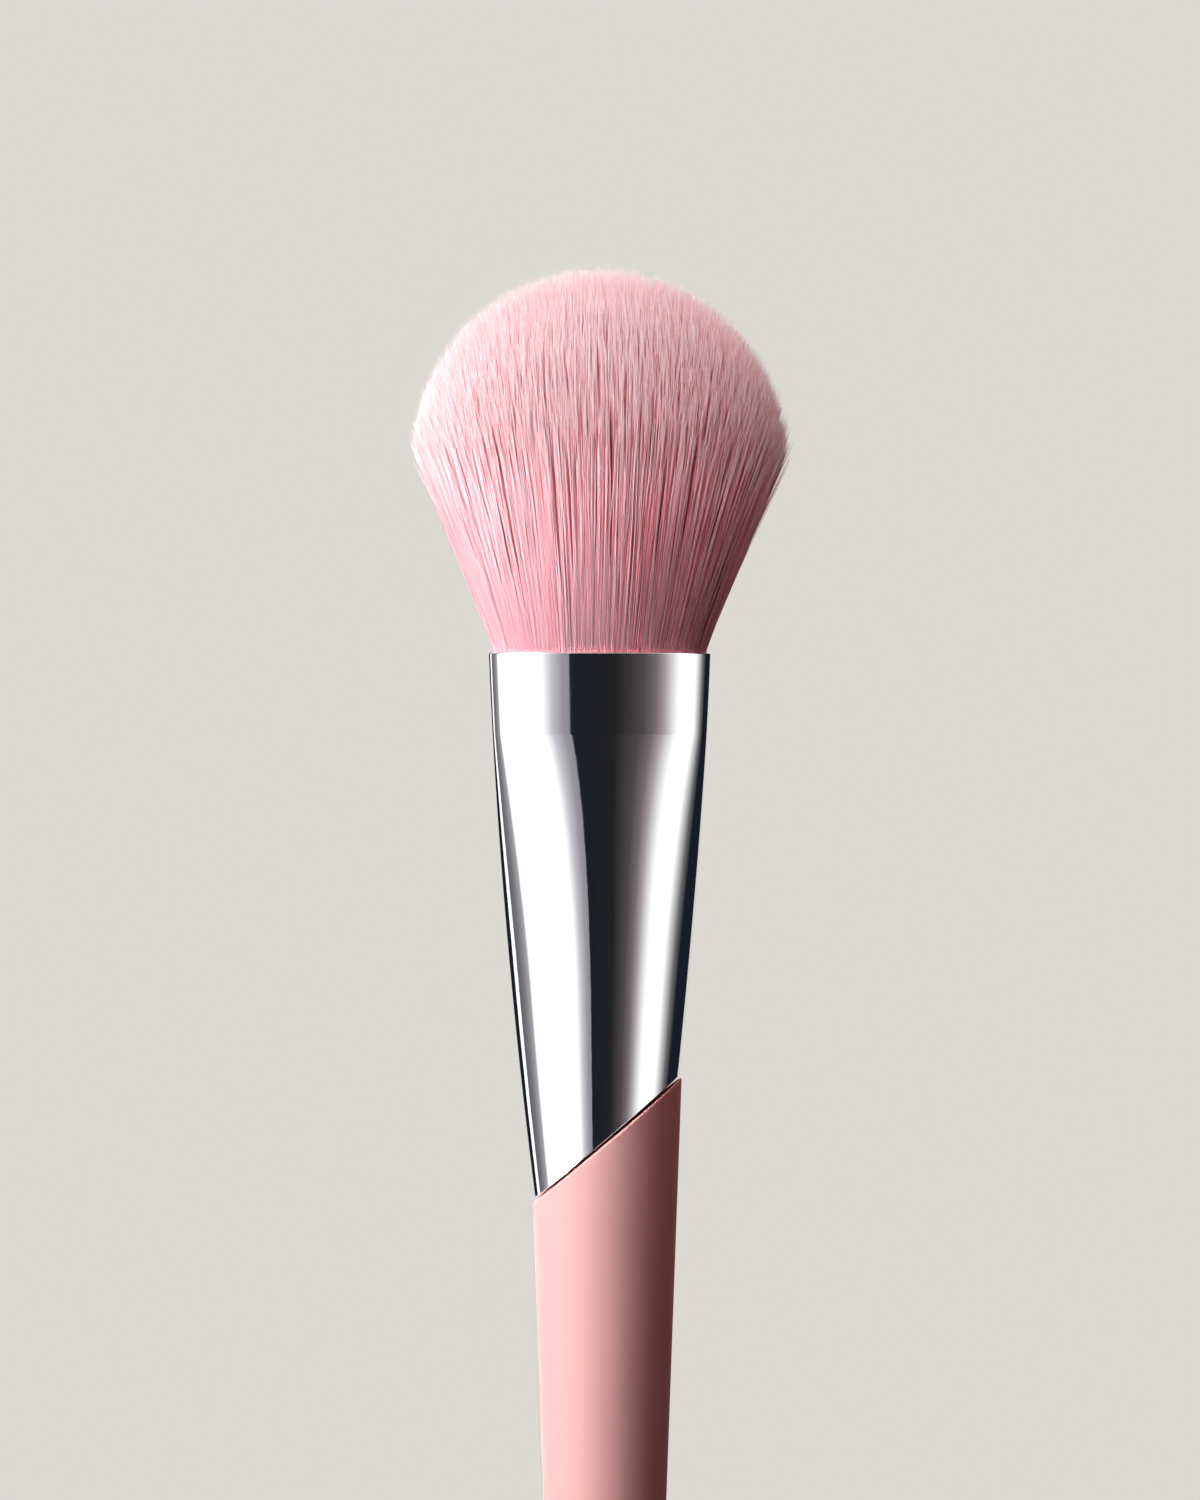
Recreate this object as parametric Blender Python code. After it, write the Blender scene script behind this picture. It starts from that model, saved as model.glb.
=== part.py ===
"""Bronzer brush: a domed tuft of strands in a metal ferrule on a tapered handle.

Units are metres. +Z runs from the handle's butt to the top of the tuft, and the origin is the middle of
the flat butt, on the handle's axis. The ferrule meets the handle on a slanted plane that rises towards +X,
and the oval head is turned a little about Z from that slope.
"""

import math

import bmesh
import bpy
import numpy as np
from mathutils import Vector
from mathutils.geometry import delaunay_2d_cdt

# Handle
HANDLE_LENGTH = 0.0842  # butt to the middle of the slanted joint
HANDLE_JOINT_RADIUS = 0.00772
HANDLE_BUTT_RADIUS = 0.00466
BUTT_ROUND = 0.0007
JOINT_ANGLE = math.radians(40.2)
LIP_ROUND = 0.00025
TENON_LENGTH = 0.018  # above the middle of the joint
TENON_CHAMFER = 0.0006
TENON_WALL = 0.0022
BUTT_THICKNESS = 0.008  # solid stock under the core

# Ferrule
LIP_STEP = 0.00021  # how far the handle's lip stands proud of the ferrule
MOUTH_HALF_WIDTH = 0.0116
MOUTH_HALF_DEPTH = 0.0061
HEAD_TURN = math.radians(4)  # of the oval collar and the tuft about Z, from the joint's slope
COLLAR_HEIGHT = 0.0085
SHOULDER_HEIGHT = 0.026  # over which the oval collar becomes round
BODY_HEIGHT = 0.0163  # from the shoulder down to the middle of the joint
FERRULE_BELLY = 0.00051  # how far the side bows out between mouth and joint
FERRULE_WALL = 0.0005
MOUTH_ROUND = 0.0002

# Tuft
TUFT_HEIGHT = 0.040  # from the mouth to the top
HEAD_HALF_WIDTH = 0.01935
HEAD_HALF_DEPTH = 0.0122
DOME_HEIGHT = 0.0193  # from the widest level to the top
FLARE_START = 0.0020  # radius with which the strands turn from straight to flared
SLICE_RECESS = 0.0015  # from the mouth down to the slice of backing
SLICE_THICKNESS = 0.0020
MOUTH_RISE = 0.0010  # the level above the mouth up to which a strand runs nearly straight
STRAND_COUNT = 320
STRAND_SIDES = 3

# Root block, thread and glue
ROOT_BLOCK_HEIGHT = 0.012
THREAD_RADIUS = 0.0004
THREAD_DROP = 0.0080  # from the block's top to the middle of the thread
ROOT_GLUE_HEIGHT = 0.006
TENON_GLUE = 0.0005  # thickness where the ring is thinnest
TENON_GLUE_SETBACK = 0.0035  # from the tenon's top to the ring's top

# Core of the handle
WEIGHT_LENGTH = 0.060
CORE_PLUG_LENGTH = 0.006
CORE_CHAMFER = 0.0004

# Fits and facets
GAP = 0.0003  # between neighbours
OUTER_SIDES = 48
INNER_SIDES = 32
THREAD_SIDES = 6
ROOT_GLUE_RINGS = 4
LEAN_PASSES = 8
HALVINGS = 40
SHOULDER_EXPONENT = 1.7
ROUND_ANGLES = (0.0, math.pi / 4, math.pi / 2)
SHOULDER_SHARES = (0.06, 0.14, 0.24, 0.36, 0.5, 0.66, 0.83, 1.0)
FERRULE_BODY_SHARES = (0.26, 0.52, 0.78, 1.0)
HANDLE_SHARES = (0.3, 0.6, 0.8)
TENON_GLUE_SHARES = (0.0, 0.5, 1.0)
STRAND_HEIGHT_SHARES = (0.42, 0.78)
STRAND_FILL_SHARES = (0.70, 0.70, 0.72, 0.50)  # from the slice up, of a strand's own ground
DEPTH_BOW_SHARE = 0.7  # how much sooner the tuft spreads in depth than in width
CDT_LIMIT = 1e-9
SHARP_ANGLE = math.radians(30)

# Worked out from the sizes above. Depths run down from the ferrule's mouth.
JOINT_RISE = math.tan(JOINT_ANGLE)
JOINT_GAP = GAP / math.cos(JOINT_ANGLE)  # measured along Z
FERRULE_LENGTH = COLLAR_HEIGHT + SHOULDER_HEIGHT + BODY_HEIGHT
FERRULE_END_RADIUS = HANDLE_JOINT_RADIUS - LIP_STEP
TENON_TOP = HANDLE_LENGTH + TENON_LENGTH
BLOCK_TOP_DEPTH = SLICE_RECESS + SLICE_THICKNESS + GAP
BLOCK_FOOT_DEPTH = BLOCK_TOP_DEPTH + ROOT_BLOCK_HEIGHT
ROOT_GLUE_TOP_DEPTH = BLOCK_FOOT_DEPTH + GAP
ROOT_GLUE_FOOT_DEPTH = ROOT_GLUE_TOP_DEPTH + ROOT_GLUE_HEIGHT
GOLDEN_ANGLE = math.pi * (3 - math.sqrt(5))


def handle_radius(height):
    """Radius of the straight taper at a height above the butt."""
    share = height / HANDLE_LENGTH
    return HANDLE_BUTT_RADIUS + (HANDLE_JOINT_RADIUS - HANDLE_BUTT_RADIUS) * share


def ferrule_half_width(depth):
    """Half width at a depth below the mouth: a straight taper with a slight belly."""
    share = depth / FERRULE_LENGTH
    taper = MOUTH_HALF_WIDTH + (FERRULE_END_RADIUS - MOUTH_HALF_WIDTH) * share
    return taper + FERRULE_BELLY * 4 * share * (1 - share)


def ferrule_roundness(depth):
    """Half depth over half width: that of the mouth in the collar, rising to 1 over the shoulder."""
    flat = MOUTH_HALF_DEPTH / MOUTH_HALF_WIDTH
    share = np.clip((depth - COLLAR_HEIGHT) / SHOULDER_HEIGHT, 0, 1)
    return flat + (1 - flat) * (1 - (1 - share) ** SHOULDER_EXPONENT)


def ferrule_axis():
    """X of the ferrule's axis, at which the handle's lip is even where the joint is highest and lowest."""
    rise = JOINT_RISE * FERRULE_END_RADIUS
    high = handle_radius(HANDLE_LENGTH + rise) - ferrule_half_width(FERRULE_LENGTH - rise)
    low = handle_radius(HANDLE_LENGTH - rise) - ferrule_half_width(FERRULE_LENGTH + rise)
    return (high - low) / 2


FERRULE_AXIS = ferrule_axis()
FERRULE_END = JOINT_RISE * FERRULE_AXIS + JOINT_GAP - FERRULE_LENGTH  # on the ferrule's axis, from its mouth


def tenon_radius():
    """What the ferrule's bore leaves at the lowest point of the joint, less glue and gaps."""
    lowest = FERRULE_LENGTH + JOINT_RISE * FERRULE_END_RADIUS
    return ferrule_half_width(lowest) - FERRULE_WALL - TENON_GLUE - GAP * 2


TENON_RADIUS = tenon_radius()
CORE_RADIUS = TENON_RADIUS - TENON_WALL


def ferrule_halves(inset):
    """A function of height above the mouth for the ferrule's half width and half depth, less an inset."""

    def halves(height):
        wide = ferrule_half_width(-height)
        return wide - inset, wide * ferrule_roundness(-height) - inset

    return halves


def straight_halves(wide, deep):
    """A function of height for a straight wall."""
    return lambda height: (wide, deep)


def round_halves(radius):
    """A function of height for a straight round wall."""
    return straight_halves(radius, radius)


def handle_halves(inset):
    """A function of height for the handle's outside, less an inset."""
    return lambda height: (handle_radius(height) - inset, handle_radius(height) - inset)


def ring(halves, height, axis=0.0, lean=0.0, sides=OUTER_SIDES, turned=0.0):
    """Points round a wall on the plane that rises by lean towards +X. Each pass moves them along the wall.

    A piece placed with a turn about Z gives it here, so that its slope still runs along the world's X.
    """
    turn = np.linspace(0, math.tau, sides, endpoint=False)
    heights = np.full(sides, height)
    for _ in range(LEAN_PASSES if lean else 1):
        wide, deep = halves(heights)
        x, y = axis + wide * np.cos(turn), deep * np.sin(turn)
        heights = height + lean * (x * math.cos(turned) - y * math.sin(turned))
    return np.stack([x, y, heights], axis=1)


def head_ring(halves, height, lean=0.0, sides=OUTER_SIDES):
    """A ring of a piece that turns with the head."""
    return ring(halves, height, lean=lean, sides=sides, turned=HEAD_TURN)


def material(name, colour, roughness, metallic=0.0):
    made = bpy.data.materials.new(name)
    made.use_nodes = True
    shader = made.node_tree.nodes["Principled BSDF"]
    shader.inputs["Base Color"].default_value = (*colour, 1.0)
    shader.inputs["Roughness"].default_value = roughness
    shader.inputs["Metallic"].default_value = metallic
    return made


def finish(name, bm, surface):
    """Turns a bmesh into an object with outward faces and crisp edges kept."""
    bmesh.ops.recalc_face_normals(bm, faces=bm.faces)
    if bm.calc_volume(signed=True) < 0:
        bmesh.ops.reverse_faces(bm, faces=bm.faces)
    mesh = bpy.data.meshes.new(name)
    bm.to_mesh(mesh)
    bm.free()
    mesh.materials.append(surface)
    mesh.shade_smooth()
    mesh.set_sharp_from_angle(angle=SHARP_ANGLE)
    return place(name, mesh)


def place(name, mesh=None, parent=None, location=(0.0, 0.0, 0.0)):
    """A new object in the scene, or an empty where there is no mesh."""
    made = bpy.data.objects.new(name, mesh)
    bpy.context.scene.collection.objects.link(made)
    made.parent = parent
    made.location = location
    return made


def skin(bm, here, there):
    """Quads between two loops of vertices that run the same way round."""
    for index, corner in enumerate(here):
        after = (index + 1) % len(here)
        bm.faces.new((corner, here[after], there[after], there[index]))


def lofted(name, rings, surface, closed=False):
    """A skin over rings in order, either capped at both ends or closed back on the first ring."""
    bm = bmesh.new()
    loops = [[bm.verts.new(point) for point in points] for points in rings]
    for here, there in zip(loops, loops[1:]):
        skin(bm, here, there)
    if closed:
        skin(bm, loops[-1], loops[0])
    else:
        bm.faces.new(loops[0])
        bm.faces.new(loops[-1])
    return finish(name, bm, surface)


def handle(surface):
    """Outside from the rounded butt up to the slanted lip, then the shoulder, the tenon and the core."""
    rings = []
    for angle in ROUND_ANGLES:
        inset = BUTT_ROUND * (1 - math.sin(angle))
        rings.append(ring(handle_halves(inset), BUTT_ROUND * (1 - math.cos(angle))))
    for share in HANDLE_SHARES:
        rings.append(ring(handle_halves(0.0), HANDLE_LENGTH * share))
    for angle in ROUND_ANGLES:
        drop = LIP_ROUND * (1 - math.sin(angle)) / math.cos(JOINT_ANGLE)
        wall = handle_halves(LIP_ROUND * (1 - math.cos(angle)))
        rings.append(ring(wall, HANDLE_LENGTH - drop, lean=JOINT_RISE))
    tenon = round_halves(TENON_RADIUS)
    rings.append(ring(tenon, HANDLE_LENGTH, FERRULE_AXIS, JOINT_RISE))
    rings.append(ring(tenon, TENON_TOP - TENON_CHAMFER, FERRULE_AXIS))
    rings.append(ring(round_halves(TENON_RADIUS - TENON_CHAMFER), TENON_TOP, FERRULE_AXIS))
    rings.append(ring(round_halves(CORE_RADIUS), TENON_TOP))
    rings.append(ring(round_halves(CORE_RADIUS), BUTT_THICKNESS))
    return lofted("handle", rings, surface)


def ferrule_levels():
    """(height, lean) of the ferrule's rings from the foot of the collar to the slanted end."""
    levels = [(-COLLAR_HEIGHT, 0.0)]
    levels += [(-COLLAR_HEIGHT - SHOULDER_HEIGHT * share, 0.0) for share in SHOULDER_SHARES]
    body_top = -COLLAR_HEIGHT - SHOULDER_HEIGHT
    for share in FERRULE_BODY_SHARES:
        levels.append((body_top + (FERRULE_END - body_top) * share, JOINT_RISE * share))
    return levels


def ferrule(surface):
    """Rounded mouth, oval collar, shoulder and body on the outside, and the same again inside the wall."""
    rings = []
    for angle in reversed(ROUND_ANGLES):
        wall = ferrule_halves(MOUTH_ROUND * (1 - math.cos(angle)))
        rings.append(head_ring(wall, -MOUTH_ROUND * (1 - math.sin(angle))))
    levels = ferrule_levels()
    rings += [head_ring(ferrule_halves(0.0), level, lean) for level, lean in levels]
    bore = ferrule_halves(FERRULE_WALL)
    rings += [head_ring(bore, level, lean) for level, lean in reversed(levels)]
    rings.append(head_ring(bore, 0.0))
    return lofted("ferrule", rings, surface, closed=True)


def root_halves(depth, inset=0.0):
    """Half width and half depth of the root bundle: the collar's oval carried straight down, less a gap."""
    wide = ferrule_half_width(depth)
    spare = FERRULE_WALL + GAP + inset
    return wide - spare, wide * ferrule_roundness(0.0) - spare


def root_ring(depth, inset=0.0, sides=INNER_SIDES):
    """One ring of the root bundle at a depth below the mouth."""
    return ring(straight_halves(*root_halves(depth, inset)), -depth, sides=sides)


def tuft_root_block(surface):
    """Oval block with a groove for the thread round it."""
    half_groove = THREAD_RADIUS + GAP
    sunk = half_groove * 2
    middle = BLOCK_TOP_DEPTH + THREAD_DROP
    steps = (
        (BLOCK_TOP_DEPTH, 0.0),
        (middle - half_groove, 0.0),
        (middle - half_groove, sunk),
        (middle + half_groove, sunk),
        (middle + half_groove, 0.0),
        (BLOCK_FOOT_DEPTH, 0.0),
    )
    return lofted("tuft_root_block", [root_ring(*step) for step in steps], surface)


def binding_thread(surface):
    """One closed turn of thread, flush with the block's side."""
    rings = []
    for angle in np.linspace(0, math.tau, THREAD_SIDES, endpoint=False):
        inset = THREAD_RADIUS * (1 - math.cos(angle)) + GAP
        rings.append(root_ring(BLOCK_TOP_DEPTH + THREAD_DROP + THREAD_RADIUS * math.sin(angle), inset))
    return lofted("binding_thread", rings, surface, closed=True)


def root_glue_plug(surface):
    """Glue that fills the ferrule's bore under the root block."""
    wall = ferrule_halves(FERRULE_WALL + GAP)
    levels = np.linspace(-ROOT_GLUE_TOP_DEPTH, -ROOT_GLUE_FOOT_DEPTH, ROOT_GLUE_RINGS)
    rings = [ring(wall, level, sides=INNER_SIDES) for level in levels]
    return lofted("root_glue_plug", rings, surface)


def tenon_glue_ring(surface):
    """Glue round the tenon: slanted below like the shoulder, flat above."""
    bore = ferrule_halves(FERRULE_WALL + GAP)
    tenon = round_halves(TENON_RADIUS + GAP)
    top = TENON_LENGTH - TENON_GLUE_SETBACK - FERRULE_LENGTH
    steps = []
    for share in TENON_GLUE_SHARES:
        steps.append((FERRULE_END + (top - FERRULE_END) * share, JOINT_RISE * (1 - share)))
    rings = [head_ring(bore, level, lean, INNER_SIDES) for level, lean in steps]
    rings += [head_ring(tenon, level, lean, INNER_SIDES) for level, lean in (steps[-1], steps[0])]
    return lofted("tenon_glue_ring", rings, surface, closed=True)


def core_bar(name, length, surface):
    """A round bar with chamfered ends that drops into the handle's core, standing on its own origin."""
    full = round_halves(CORE_RADIUS - GAP)
    thin = round_halves(CORE_RADIUS - GAP - CORE_CHAMFER)
    walls = ((thin, 0.0), (full, CORE_CHAMFER), (full, length - CORE_CHAMFER), (thin, length))
    return lofted(name, [ring(wall, height, sides=INNER_SIDES) for wall, height in walls], surface)


def flare(height):
    """Spread of a strand at a height above the mouth, as a share of its spread at the widest level."""

    def run(level):
        risen = np.maximum(level, 0)
        return np.sqrt(risen**2 + FLARE_START**2) - FLARE_START

    return run(height) / run(TUFT_HEIGHT - DOME_HEIGHT)


def strand_ground():
    """Half width and half depth of the oval that holds the strands' middles on the slice."""
    wide, deep = root_halves(SLICE_RECESS)
    edge = strand_size(deep, STRAND_FILL_SHARES[0]) + GAP
    return wide - edge, deep - edge


def strand_size(half_depth, fill_share):
    """Radius of a strand where the tuft has this half depth, from the ground that one strand has."""
    return half_depth * fill_share / math.sqrt(STRAND_COUNT)


def strand_seeds():
    """Even places in the unit circle: each strand turns by the golden angle from the one before."""
    index = np.arange(STRAND_COUNT)
    reach = np.sqrt((index + 0.5) / STRAND_COUNT)
    turn = index * GOLDEN_ANGLE
    return np.stack([reach * np.cos(turn), reach * np.sin(turn)], axis=1)


def tuft_halves(height):
    """Half width and half depth of the bundle at a height above the mouth. The depth bows out and turns back."""
    wide, deep = strand_ground()
    share = flare(height)
    bowed = share + DEPTH_BOW_SHARE * share * (1 - share)
    return wide + (HEAD_HALF_WIDTH - wide) * share, deep + (HEAD_HALF_DEPTH - deep) * bowed


def strand_tops(seeds):
    """Height at which each strand meets the dome, found by halving."""
    widest = TUFT_HEIGHT - DOME_HEIGHT
    low = np.zeros(len(seeds))
    high = np.full(len(seeds), TUFT_HEIGHT)
    for _ in range(HALVINGS):
        middle = (low + high) / 2
        wide, deep = tuft_halves(middle)
        across = (seeds[:, 0] * wide / HEAD_HALF_WIDTH) ** 2 + (seeds[:, 1] * deep / HEAD_HALF_DEPTH) ** 2
        inside = across + (np.maximum(middle - widest, 0) / DOME_HEIGHT) ** 2 < 1
        low = np.where(inside, middle, low)
        high = np.where(inside, high, middle)
    return low


def strand_levels(seeds):
    """Corner places of every strand at each level, as arrays of strands by sides by 3, and the tips."""
    tops = strand_tops(seeds)
    heights = [np.full(len(tops), -SLICE_RECESS), np.full(len(tops), MOUTH_RISE)]
    heights += [tops * share for share in STRAND_HEIGHT_SHARES]
    turn = np.arange(STRAND_SIDES) * math.tau / STRAND_SIDES
    turn = turn[None, :] + np.arange(len(tops))[:, None] * GOLDEN_ANGLE
    levels = []
    for height, fill_share in zip(heights, STRAND_FILL_SHARES):
        wide, deep = tuft_halves(height)
        size = strand_size(deep, fill_share)[:, None]
        x = (seeds[:, 0] * wide)[:, None] + size * np.cos(turn)
        y = (seeds[:, 1] * deep)[:, None] + size * np.sin(turn)
        levels.append(np.stack([x, y, np.broadcast_to(height[:, None], x.shape)], axis=2))
    wide, deep = tuft_halves(tops)
    return levels, np.stack([seeds[:, 0] * wide, seeds[:, 1] * deep, tops], axis=1)


def slice_sheet(bm, rim, feet):
    """The slice's top as triangles between its rim and the strands' feet. Returns the feet's faces."""
    points = [Vector(point[:2]) for point in np.concatenate([rim, feet.reshape(-1, 3)])]
    rim_edges = [(i, (i + 1) % len(rim)) for i in range(len(rim))]
    foot_corners = len(rim) + np.arange(len(feet) * STRAND_SIDES).reshape(-1, STRAND_SIDES)
    made = delaunay_2d_cdt(points, rim_edges, foot_corners.tolist(), 1, CDT_LIMIT, True)
    verts = [bm.verts.new((*point, rim[0][2])) for point in made[0]]
    found = [None] * len(feet)
    for corners, sources in zip(made[2], made[5]):
        face = bm.faces.new([verts[i] for i in corners])
        if sources:
            found[sources[0]] = face
    return found


def bristle_tuft(surface):
    """A slice of backing with every strand drawn out of it level by level and ending in a point."""
    seeds = strand_seeds()
    levels, tips = strand_levels(seeds)
    bm = bmesh.new()
    number = bm.faces.layers.int.new("strand")
    feet = slice_sheet(bm, root_ring(SLICE_RECESS, sides=OUTER_SIDES), levels[0])
    for index, face in enumerate(feet):
        face[number] = index + 1
    faces = feet
    for level in levels[1:]:
        faces = bmesh.ops.extrude_discrete_faces(bm, faces=faces)["faces"]
        for face in faces:
            move_to(face, level[face[number] - 1])
    for face in faces:
        tip = tips[face[number] - 1]
        poked = bmesh.ops.poke(bm, faces=[face])
        poked["verts"][0].co = tip
    rim = [edge for edge in bm.edges if edge.is_boundary]
    drawn = bmesh.ops.extrude_edge_only(bm, edges=rim)["geom"]
    for vert in (item for item in drawn if isinstance(item, bmesh.types.BMVert)):
        vert.co.z -= SLICE_THICKNESS
    bmesh.ops.contextual_create(bm, geom=[edge for edge in bm.edges if edge.is_boundary])
    return finish("bristle_tuft", bm, surface)


def move_to(face, corners):
    """Puts a strand's face at new corners, each vertex going to the corner on its own side."""
    middle = face.calc_center_median()
    goal = Vector(corners.mean(axis=0))
    for vert in list(face.verts):
        side = (vert.co - middle).normalized()
        best = max(corners, key=lambda corner: side.dot((Vector(corner) - goal).normalized()))
        vert.co = best


def brush():
    """Places the pieces under two empties: the brush at its butt, and the head at the ferrule's mouth."""
    whole = place("brush")
    head = place("head", parent=whole, location=(FERRULE_AXIS, 0.0, HANDLE_LENGTH + FERRULE_LENGTH))
    head.rotation_euler.z = HEAD_TURN
    for piece in (
        ferrule(material("polished_metal", (0.78, 0.78, 0.80), 0.08, 1.0)),
        bristle_tuft(material("rose_bristle", (0.84, 0.45, 0.49), 0.6)),
        tuft_root_block(material("glued_roots", (0.55, 0.28, 0.30), 0.5)),
        binding_thread(material("waxed_thread", (0.80, 0.76, 0.68), 0.8)),
        root_glue_plug(material("root_glue", (0.62, 0.50, 0.30), 0.3)),
        tenon_glue_ring(material("tenon_glue", (0.66, 0.56, 0.36), 0.3)),
    ):
        piece.parent = head
    handle(material("rose_soft_touch", (0.80, 0.52, 0.49), 0.55)).parent = whole
    weight = core_bar("balance_weight", WEIGHT_LENGTH, material("plain_steel", (0.42, 0.42, 0.43), 0.35, 1.0))
    weight.parent = whole
    weight.location.z = BUTT_THICKNESS + GAP
    plug = core_bar("core_plug", CORE_PLUG_LENGTH, material("stopper", (0.10, 0.10, 0.11), 0.7))
    plug.parent = whole
    plug.location.z = weight.location.z + WEIGHT_LENGTH + GAP


for leftover in list(bpy.data.objects):
    bpy.data.objects.remove(leftover)
brush()
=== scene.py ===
"""Dressed bronzer brush: fine skins, finishes, thousands of bristles and a small studio.

Units are metres in the frame of the solids: +Z runs from the handle's butt to the top of the tuft, and
the origin is the middle of the flat butt.
"""

import math

import bpy
import numpy as np
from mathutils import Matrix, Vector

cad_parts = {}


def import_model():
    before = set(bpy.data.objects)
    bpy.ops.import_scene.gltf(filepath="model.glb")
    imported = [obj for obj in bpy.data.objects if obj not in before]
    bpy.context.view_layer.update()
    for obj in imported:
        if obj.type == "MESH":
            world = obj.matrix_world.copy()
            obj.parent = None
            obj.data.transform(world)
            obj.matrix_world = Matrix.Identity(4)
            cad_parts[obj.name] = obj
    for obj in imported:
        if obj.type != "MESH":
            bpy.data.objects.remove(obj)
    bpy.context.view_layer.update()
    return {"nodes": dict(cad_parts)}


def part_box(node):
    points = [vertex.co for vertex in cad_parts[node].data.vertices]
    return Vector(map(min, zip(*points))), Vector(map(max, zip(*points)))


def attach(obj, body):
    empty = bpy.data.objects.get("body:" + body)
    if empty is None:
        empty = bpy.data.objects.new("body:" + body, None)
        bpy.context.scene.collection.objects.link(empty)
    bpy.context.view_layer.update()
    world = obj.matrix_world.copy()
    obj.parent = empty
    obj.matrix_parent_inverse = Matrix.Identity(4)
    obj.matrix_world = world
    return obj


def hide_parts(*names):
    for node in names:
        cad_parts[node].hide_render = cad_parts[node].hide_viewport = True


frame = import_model()

# Handle
HANDLE_LENGTH = 0.0842  # butt to the middle of the slanted joint
HANDLE_JOINT_RADIUS = 0.00772
HANDLE_BUTT_RADIUS = 0.00466
BUTT_ROUND = 0.0007
JOINT_RISE = math.tan(math.radians(40.2))
LIP_ROUND = 0.00025
LIP_STEP = 0.00021  # how far the handle's lip stands proud of the ferrule
TENON_LENGTH = 0.018
TENON_CHAMFER = 0.0006
TENON_WALL = 0.0022
BUTT_THICKNESS = 0.008

# Ferrule
MOUTH_HALF_WIDTH = 0.0116
MOUTH_HALF_DEPTH = 0.0061
HEAD_TURN = math.radians(4)  # of the oval collar and the tuft about Z, from the joint's slope
COLLAR_HEIGHT = 0.0085
SHOULDER_HEIGHT = 0.026
BODY_HEIGHT = 0.0163
SHOULDER_EXPONENT = 1.7
FERRULE_BELLY = 0.00051
FERRULE_WALL = 0.0005
FERRULE_ROUND = 0.0002  # at the mouth and the slanted end
BODY_FOOT_SHARE = 0.992  # of the way down the body, where its rings end and the rounded end begins
TENON_GLUE = 0.0005
GAP = 0.0003

FERRULE_LENGTH = COLLAR_HEIGHT + SHOULDER_HEIGHT + BODY_HEIGHT
FERRULE_END_RADIUS = HANDLE_JOINT_RADIUS - LIP_STEP
JOINT_GAP = GAP * math.hypot(1.0, JOINT_RISE)  # measured along Z
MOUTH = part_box("ferrule")[1].z
AXIS = (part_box("ferrule")[0].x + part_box("ferrule")[1].x) / 2

# Tuft, in heights above the mouth
TUFT_HEIGHT = 0.040
HEAD_HALF_WIDTH = 0.01935
HEAD_HALF_DEPTH = 0.0122
DOME_HEIGHT = 0.0193
WIDEST = TUFT_HEIGHT - DOME_HEIGHT
FLARE_START = 0.0006
DEPTH_BOW_SHARE = 0.7  # how much sooner the tuft spreads in depth than in width
SLICE_RECESS = 0.0015
SLICE_THICKNESS = 0.0020
SLICE_ROUND = 0.0002
STRAND_COUNT = 46000
STRAND_RADIUS = 0.000049
STRAND_SIDES = 3
GIRTH_SHARES = ((0.0, 0.1, 0.5, 0.88, 0.999, 1.0), (0.75, 0.8, 1.0, 0.85, 0.12, 0.0))  # along and across
SEED_JITTER = 0.35  # in the unit disc, over the root of the number of strands
RINGS = (  # outer edge in the unit disc, number of pieces, shares of a strand's length for its corners
    (0.55, 2, (0.0, 0.7, 0.9)),
    (0.80, 3, (0.0, 0.5, 0.72, 0.86, 0.95)),
    (1.00, 6, (0.0, 0.08, 0.2, 0.32, 0.44, 0.56, 0.68, 0.79, 0.89, 0.96)),
)
LOCK_CELLS = 17  # across half the disc
WISP_CELLS = 74
CELL_WAVES, CELL_SWAY_SHARE = 0.9, 0.35  # radians to a cell and size in cells, of the grid's bending waves
CELL_PHASES = (0.0, 1.7)
LOCK_PULL = (0.0, 0.05)  # how far bunches are drawn to their middles, at least and at most
WISP_PULL = (0.2, 0.9)
WISP_GATHER_SHARES = (0.02, 0.5)  # of the tuft's height, between which strands close up into their wisp
LOCK_GATHER_SHARES = (0.05, 0.7)
LOCK_DRIFT = 0.005  # sideways over the whole height, in half widths of the tuft
WISP_DRIFT = 0.035
STRAND_DRIFT = 0.007
LOOSE_DRIFT = 0.06
LOOSE_SHARE = 0.25  # of the strands, which leave their wisps
RADIAL_SHARE = 0.25  # of the drift that is left along the radius
MIDDLE_REACH = 0.05  # in the unit disc, inside which a place has no clear radius
EDGE_REACH, EDGE_SPREAD = 1.004, 0.01  # in the unit disc, how far out strands may stray, and more at the top
WISP_BOW = 0.0025  # size of the slow wave, in half widths of the tuft
STRAND_BOW = 0.002
BOW_TURNS = 3.0  # waves over the tuft's height
BOW_PHASE_SPREAD = 0.5  # in radians, within a wisp
BOW_START_SHARE = 0.1  # of the tuft's height, over which the bow sets in
WISP_SHORTFALL = 0.007  # how far strands end below the dome, as shares of the distance to its middle
STRAND_SHORTFALL = 0.013
SHORT_SHARE, SHORT_REACH = 0.12, 0.07  # of the strands, which end up to this much lower still
DEEPEST_SHORTFALL = 0.5
OVERSHOOT = 0.008  # how far the longest strands pass the dome, in the same shares
CAP_SHARE = 0.99  # of the dome's height at a strand's depth, above which no end may rise
SEARCH_SHARE = 1.05  # of the tuft's height, up to which the strands' ends are looked for
LYING_LENGTH = 0.0012  # of the ends that lie along the front and the back of the dome, in the mean
CONE_TILT = 18.0  # per metre: the outward direction's part down at the mouth, beside 1 / half width across
STRAY_RIM = 0.9  # in the unit disc, beyond which single strands stand off
STRAY_SHARE, STRAY_EXTRA_SHARE = 0.03, 0.12  # of those strands, and how many more on the side at +X
STRAY_SIDE = 0.5
STRAY_LEAN = 0.05  # at most, as a share of the distance from the axis
COARSE_SHARE = 0.3  # of the strands
COARSE_GIRTH, FINE_GIRTH = (1.2, 1.7), (0.75, 1.2)
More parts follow.
